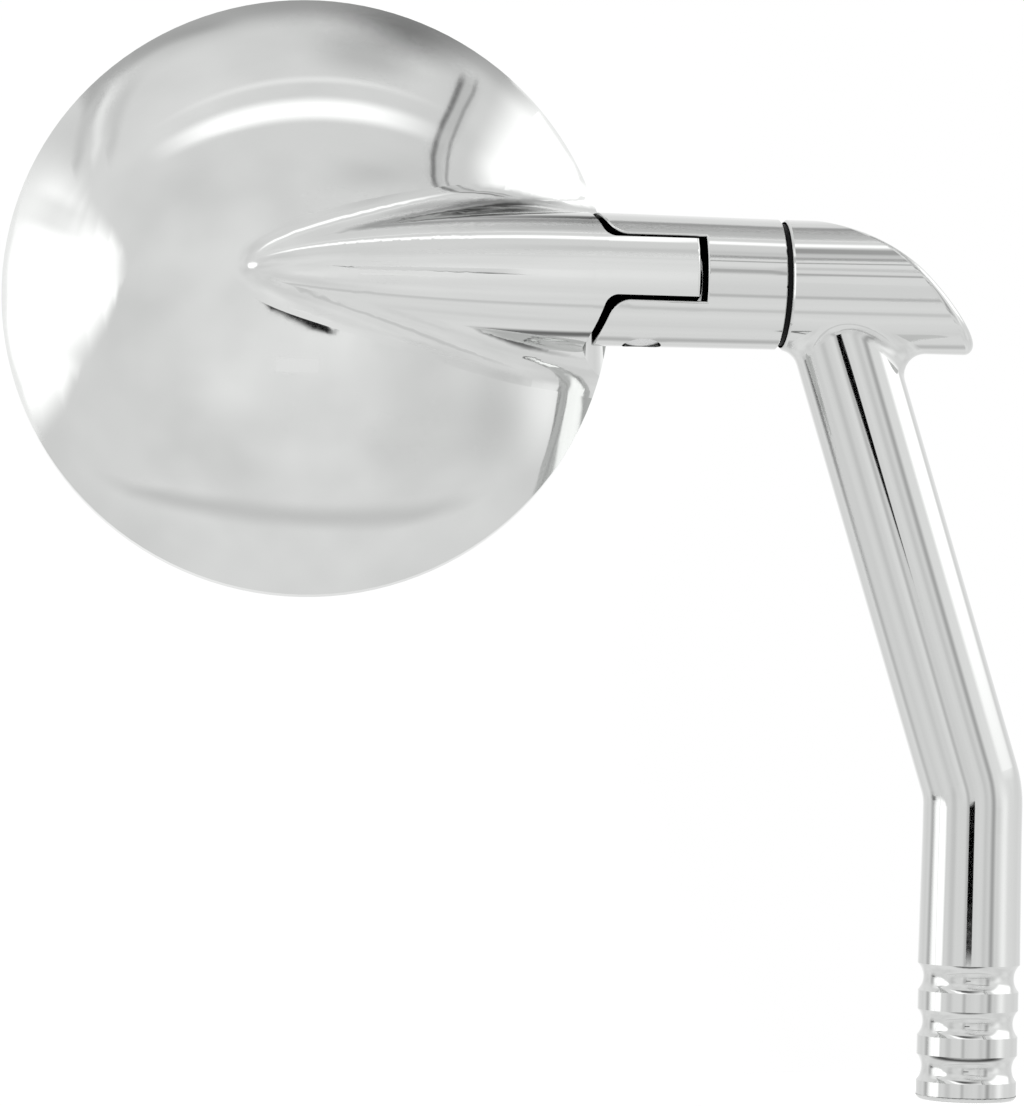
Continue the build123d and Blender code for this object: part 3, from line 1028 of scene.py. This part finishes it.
class MIRROR_OT_studio(bpy.types.Operator):
    """Set the floor, the light, the cards and the camera"""

    bl_idname = "mirror.studio"
    bl_label = "Set the studio"

    def execute(self, context):
        settings = context.scene.mirror_studio
        self.set_world(context.scene)
        self.lay_floor()
        self.hang_cards(settings.softbox_level)
        self.place_camera(context.scene, settings)
        context.scene.view_settings.view_transform = "Standard"
        return {"FINISHED"}

    def set_world(self, scene):
        """A white tent, softly uneven as hung cloth is, and plain white behind the mirror."""
        world = bpy.data.worlds.new("white tent")
        world.use_nodes = True
        tree = world.node_tree
        tree.nodes.clear()
        way = add(tree, "ShaderNodeTexCoord").outputs["Generated"]
        cloth = add(tree, "ShaderNodeTexNoise", {"Vector": way, "Scale": 1.8, "Detail": 2.5})
        shade = add(
            tree,
            "ShaderNodeMapRange",
            {
                "Value": cloth.outputs["Fac"],
                "From Min": 0.35,
                "From Max": 0.65,
                "To Min": 0.93,
                "To Max": 1.08,
            },
        )
        seen = add(tree, "ShaderNodeLightPath").outputs["Is Camera Ray"]
        level = add(tree, "ShaderNodeMath", {0: shade.outputs[0], 1: seen}, operation="MAXIMUM")
        tent = add(tree, "ShaderNodeBackground", {"Color": WHITE, "Strength": level.outputs[0]})
        add(tree, "ShaderNodeOutputWorld", {"Surface": tent.outputs[0]})
        scene.world = world

    def lay_floor(self):
        """A small round table of white paper that keeps the shadow."""
        material, tree = new_material("white paper")
        radius, sides = 50 * MM, 128
        place = add(tree, "ShaderNodeTexCoord").outputs["Object"]
        fibre_length = 0.5 * MM
        fibres = add(
            tree, "ShaderNodeTexNoise", {"Vector": place, "Scale": 1 / fibre_length, "Detail": 3.0}
        )
        tone = add(
            tree,
            "ShaderNodeMix",
            {"Factor": fibres.outputs["Fac"], 6: linear("#E4E4E4"), 7: linear("#EAEAEA")},
            data_type="RGBA",
        )
        # The paper's own glow, and what it takes to look as white as the wall behind it
        glow_level, seen_lift = 0.14, 0.32
        seen = add(tree, "ShaderNodeLightPath").outputs["Is Camera Ray"]
        lift = add(
            tree, "ShaderNodeMath", {0: seen, 1: seen_lift, 2: glow_level}, operation="MULTIPLY_ADD"
        )
        paper = add(tree, "ShaderNodeBsdfDiffuse", {"Color": tone.outputs[2]})
        glow = add(tree, "ShaderNodeEmission", {"Color": WHITE, "Strength": lift.outputs[0]})
        both = add(tree, "ShaderNodeAddShader", {0: paper.outputs[0], 1: glow.outputs[0]})
        add(tree, "ShaderNodeOutputMaterial", {"Surface": both.outputs[0]})
        data = bpy.data.meshes.new("floor")
        turns = [2 * pi * side / sides for side in range(sides)]
        points = [(radius * cos(turn), radius * sin(turn), 0) for turn in turns]
        data.from_pydata(points, [], [range(sides)])
        data.materials.append(material)
        floor = bpy.data.objects.new("floor", data)
        bpy.context.scene.collection.objects.link(floor)
        # The plate's shading of narrow gaps takes no notice of what the foot stands on
        floor.visible_shadow = False
        # The foot mirrors the tent down to its last edge
        floor.visible_glossy = False

    def hang_cards(self, level):
        """What the chrome mirrors, the nearest card first, so that none cuts another."""
        low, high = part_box("mirror_shell")
        dome = (low + high) / 2
        # Distances in metres: the strap, the scrim before the shell, then one card behind another
        reaches = chain((0.96, 1.0), count(start=1.06, step=0.01))
        # Height of a ceiling card as a share of its distance
        ceiling_share = 0.75

        def spot(azimuth, elevation, wide, tall):
            """Centre, facing point and size of the next card, from where the dome sees it."""
            reach = next(reaches)
            size = [2 * reach * tan(radians(angle / 2)) for angle in (wide, tall)]
            return dome + aim(azimuth, elevation) * reach, dome, size

        def wall(name, azimuth, elevation, wide, tall, *look):
            """A card that faces the dome; look is its level, softness, opacity and bounces."""
            place = spot(azimuth, elevation, wide, tall)
            return flat_card(name, *place, card_material(name, *look))

        def flags(nodes, softness, *rows):
            """Cards that some nodes mirror as dark, and the others as part of the tent."""
            for name, azimuth, elevation, wide, tall, opacity in rows:
                look = (TENT_LEVEL, softness, opacity)
                keep_dark_in(wall(name, azimuth, elevation, wide, tall, *look), *nodes)

        def scrim(node, name, azimuth, elevation, wide, tall, *look):
            """A scrim whose light only one node mirrors; look is its level, softness, bounces."""
            place = spot(azimuth, elevation, wide, tall)
            card = flat_card(name, *place, scrim_material(name, *look))
            link_light(card, "INCLUDE", (node,))

        def ceiling(name, across, forward, wide, deep, *look):
            """A level card overhead, placed and sized in shares of its height."""
            height = next(reaches) * ceiling_share
            centre = dome + Vector((across, forward, 1)) * height
            below = centre - Vector((0, 0, 1))
            size = (wide * height, deep * height)
            return flat_card(name, centre, below, size, card_material(name, *look))

        def ribbon(name, shine, softness, *route):
            """A card that follows a route round the dome."""
            material = card_material(name, shine, softness)
            return ribbon_card(name, dome, next(reaches), route, material)

        # The camera's strap, where the crease under the fairing folds its image into one streak,
        # a scrim before the shell and a small card that keeps the strap out of the fairing's flank
        strap = ribbon(
            "strap", TENT_LEVEL, (0.2, 0.3),
            (-20, 12, 0.8), (-15, 8.8, 2.6), (-10, 6.8, 3.4), (-4, 4.8, 3.4), (1, 3.7, 2.6),
            (6, 2.2, 0.8),
        )
        keep_dark_in(strap, "mirror_shell")
        scrim("mirror_shell", "front_scrim", -8, 2, 84, 90, 0.17, (0.5, 0.5))
        flank = Vector((-99.5 * MM, -61 * MM, 140.8 * MM))
        flank_look = card_material("flank_card", TENT_LEVEL, (0.15, 0.3))
        flat_card("flank_card", flank, flank + Vector((0, 1, 0)), (50 * MM, 10 * MM), flank_look)
        # Flags that only the stem and its foot mirror
        stand_look = card_material("stand_flag", TENT_LEVEL, (0.1, 0.15))
        stand = flat_card("stand_flag", (-0.235, -1.03, 0.02), dome, (0.26, 0.09), stand_look)
        keep_dark_in(stand, "stem_elbow")
        flags(
            ("stem_elbow",), (0.5, 0.35),
            ("far_left_flag", -119, -6, 26, 62, 0.4),
            ("left_flag", -50, -6, 26, 62, 0.17),
            ("stand_shade", -15, -6, 14, 56, 0.3),
            ("right_flag", 25, -2, 16, 58, 0.1),
            ("front_flag", 42, 0, 18, 56, 0.45),
            ("stem_top_flag", -114, -18, 24, 10, 0.6),
            ("foot_flag", -8, 62, 70, 16, 0.85),
            ("foot_side_flag", -92, 27, 40, 10, 0.6),
        )
        # Level bands and two shades that only the arm mirrors
        flags(
            ("stem_elbow", "knuckle"), (0.3, 0.45),
            ("high_band", 22, 43, 64, 9, 0.44),
            ("line_band", 22, 35.5, 64, 3.2, 0.5),
            ("third_band", 22, 26, 64, 8, 0.16),
            ("middle_band", 22, 16, 64, 7, 0.42),
            ("low_band", 22, -23, 64, 9, 0.26),
        )
        flags(
            ("stem_elbow", "knuckle"), (0.5, 0.5),
            ("arm_zenith", 125, 75, 34, 22, 0.34),
            ("arm_nadir", 162, -52, 40, 26, 0.36),
        )
        # What only the shell mirrors behind the fairing's ends
        flags(
            ("mirror_shell",), (0.4, 0.4),
            ("leaf_flag", 155, 50, 34, 20, 0.9),
            ("tail_flag", 156, -63, 36, 26, 0.8),
        )
        # The dark heart of the fold over the fairing, where the shell mirrors itself
        wall("fold_heart", 135, 70, 34, 24, 0.05, (0.35, 0.35), 0.9, 2)
        # Frame, hem and trim of the right softbox
        ribbon(
            "softbox_frame", 0.3, (0.12, 0.45),
            *even(
                2.2,
                (43, 42), (45, 47), (50, 52), (57, 55.5),
                (68, 58.5), (82, 60), (98, 60), (114, 58),
            ),
        )
        ribbon(
            "softbox_hem", 0.5, (0.12, 0.45),
            *even(
                1.4,
                (47, 41), (50, 46), (55, 50), (62, 53.5),
                (72, 56), (85, 57.5), (100, 57), (116, 55),
            ),
        )
        ribbon(
            "softbox_trim", 0.78, (0.12, 0.5),
            (44, 42, 5), (46, 47, 7), (51, 51.5, 7), (60, 55, 7), (78, 58, 7), (98, 58.5, 7),
            (116, 56.5, 7),
        )
        # Seams in both softboxes, which draw the dome's outline against the white
        seam_width = 2.6
        ribbon(
            "right_seam", 1.3, (0.1, 0.25),
            *even(
                seam_width,
                (104, 29.9), (104.2, 31.8), (106.5, 34.1), (108, 36.7), (110, 39.3),
                (112.5, 41.7), (115.7, 43.8), (118.6, 46.5), (122.2, 48.9),
            ),
        )
        ribbon(
            "left_seam", 1.3, (0.1, 0.25),
            *even(
                seam_width,
                (-111.3, 30.7), (-108, 25.3), (-104.6, 20), (-102.3, 14.5), (-99.7, 8.9),
                (-97.8, 3.2), (-95.7, -2.7), (-93, -9), (-91.1, -15.3), (-89, -22),
            ),
        )
        # Folds of the tent, shades beside the overhead strip and the bounce, and the sweep below
        for name, shine, *route in (
            ("low_fold", 0.84, (-90, 35, 2), (-99, 40, 5), (-111, 45, 6), (-128, 50, 6)),
            ("bright_fold", 1.2, (-86, 38, 2), (-96, 44, 4), (-109, 48, 5), (-126, 53, 6)),
            ("high_fold", 0.88, (-80, 40, 2), (-92, 47, 5), (-106, 52, 6), (-124, 57, 7)),
        ):
            ribbon(name, shine, (0.3, 0.5), *route)
        ribbon(
            "rim_shade", 0.62, (0.2, 0.5),
            (-105, 45, 6), (-124, 47.5, 9), (-139, 57, 10), (-160, 67, 10),
        )
        wall("strip_shade", 24, 50, 44, 20, 0.84, (0.5, 0.5))
        wall("bounce_edge", 53, -17, 38, 36, 0.84, (0.5, 0.5))
        ribbon(
            "sweep_bend", 0.83, (0.2, 0.5),
            (-78, -30, 5), (-66, -37, 7), (-48, -43, 9), (-30, -47, 10), (-10, -49.5, 10),
            (10, -49.5, 10), (30, -47, 10), (48, -41, 8), (64, -32, 5),
        )
        # Strips overhead and a darker ceiling behind them
        ceiling("overhead_strip", -0.12, -0.33, 1.6, 0.2, level, (0.35, 0.4))
        ceiling("ceiling_seam", -0.1, -0.13, 1.5, 0.07, 1.2, (0.4, 0.5))
        corner = ceiling("dark_corner", 0.34, 0.34, 0.62, 0.56, 0.45, (0.5, 0.45), 0.55)
        keep_dark_in(corner, "mirror_shell")
        ceiling("zenith_flag", 0.2, 0.08, 0.5, 0.44, 0.74, (0.45, 0.45))
        ceiling("back_flag", 0.25, 0.5, 2.2, 0.55, 0.5, (0.4, 0.5))
        # Softboxes and bounces at both sides
        wall("right_bounce", 69, -8, 36, 38, 1.32, (0.45, 0.45))
        wall("right_softbox", 94, 29, 58, 50, level, (0.25, 0.2))
        ribbon(
            "left_softbox", level, (0.25, 0.28),
            (-59, 20, 3), (-62, 19.5, 14), (-65, 18.5, 24), (-69, 17, 33), (-74, 15, 41),
            (-80, 13.5, 48), (-88, 12.5, 54), (-98, 12.5, 57), (-110, 13, 57), (-124, 13, 57),
        )
        ribbon(
            "left_bounce", level, (0.3, 0.5),
            (-70, -2, 4), (-76, -5, 12), (-82, -8, 18), (-90, -10, 22), (-100, -10, 24),
            (-115, -9, 24),
        )
        # A scrim below, which the dome's edge mirrors by way of the stem
        scrim("stem_elbow", "low_scrim", -118, -49, 110, 60, 1.3, (0.25, 0.25), 2)
        self.lay_ring()

    def lay_ring(self):
        """A dark ring card on the floor close round the foot, which only reflections see: painted
        shade that stands in for the floor's shade beside the foot, dark in the upper walls of the
        grooves.
        """
        radii = (9 * MM, 10.5 * MM, 13 * MM)
        height = 0.2 * MM
        sides = 48
        points, corners, faces = [], [], []
        for row, radius in enumerate(radii):
            for side in range(sides):
                turn = 2 * pi * side / sides
                points.append((radius * cos(turn), radius * sin(turn), height))
                corners.append((0.5, row / 2))
                if row:
                    here = (row - 1) * sides + side
                    after = (row - 1) * sides + (side + 1) % sides
                    faces.append((here, here + sides, after + sides, after))
        # Painted shade: a nearly black card, mirrored as the floor's shade next to the foot
        look = card_material("foot_shade_ring", 0.1, (0.5, 0.5))
        ring = hang("foot_shade_ring", points, faces, corners, look)
        ring.visible_diffuse = False

    def place_camera(self, scene, settings):
        """Camera at the photograph's viewing angle, on the middle of its picture."""
        target = Vector((-78.17 * MM, 0, 88.74 * MM))
        turn = settings.camera_turn
        back = Vector((sin(turn), -cos(turn), 0))
        data = bpy.data.cameras.new("camera")
        data.lens = settings.focal_length
        data.sensor_width = 36
        data.clip_end = 50
        camera = bpy.data.objects.new("camera", data)
        look = (-back).to_track_quat("-Z", "Y").to_matrix().to_4x4()
        roll = Matrix.Rotation(settings.camera_roll, 4, "Z")
        place = Matrix.Translation(target + back * settings.camera_distance)
        camera.matrix_world = place @ look @ roll
        scene.collection.objects.link(camera)
        scene.camera = camera


class MIRROR_PT_sidebar(bpy.types.Panel):
    """Sidebar panel that lists the steps and their settings"""

    bl_label = "Motorcycle mirror"
    bl_idname = "MIRROR_PT_sidebar"
    bl_space_type = "VIEW_3D"
    bl_region_type = "UI"
    bl_category = "Mirror"

    def draw(self, context):
        for step, holder, _group in STEPS:
            box = self.layout.box()
            box.operator(step.bl_idname)
            settings = getattr(context.scene, holder)
            for name in settings.__annotations__:
                box.prop(settings, name)


STEPS = (
    (MIRROR_OT_plate, "mirror_plating", PlatingSettings),
    (MIRROR_OT_glaze, "mirror_glazing", GlazingSettings),
    (MIRROR_OT_swivel, "mirror_fasteners", FastenerSettings),
    (MIRROR_OT_pivot, "mirror_pivot", PivotSettings),
    (MIRROR_OT_studio, "mirror_studio", StudioSettings),
)


def register():
    """Register the settings, the operators and the panel."""
    for step, holder, group in STEPS:
        bpy.utils.register_class(group)
        setattr(bpy.types.Scene, holder, bpy.props.PointerProperty(type=group))
        bpy.utils.register_class(step)
    bpy.utils.register_class(MIRROR_PT_sidebar)


def unregister():
    """Take everything out again."""
    bpy.utils.unregister_class(MIRROR_PT_sidebar)
    for step, holder, group in reversed(STEPS):
        bpy.utils.unregister_class(step)
        delattr(bpy.types.Scene, holder)
        bpy.utils.unregister_class(group)


def main():
    """Run every step in order."""
    register()
    for step, _holder, _group in STEPS:
        group, name = step.bl_idname.split(".")
        getattr(getattr(bpy.ops, group), name)()


if __name__ == "__main__":
    main()
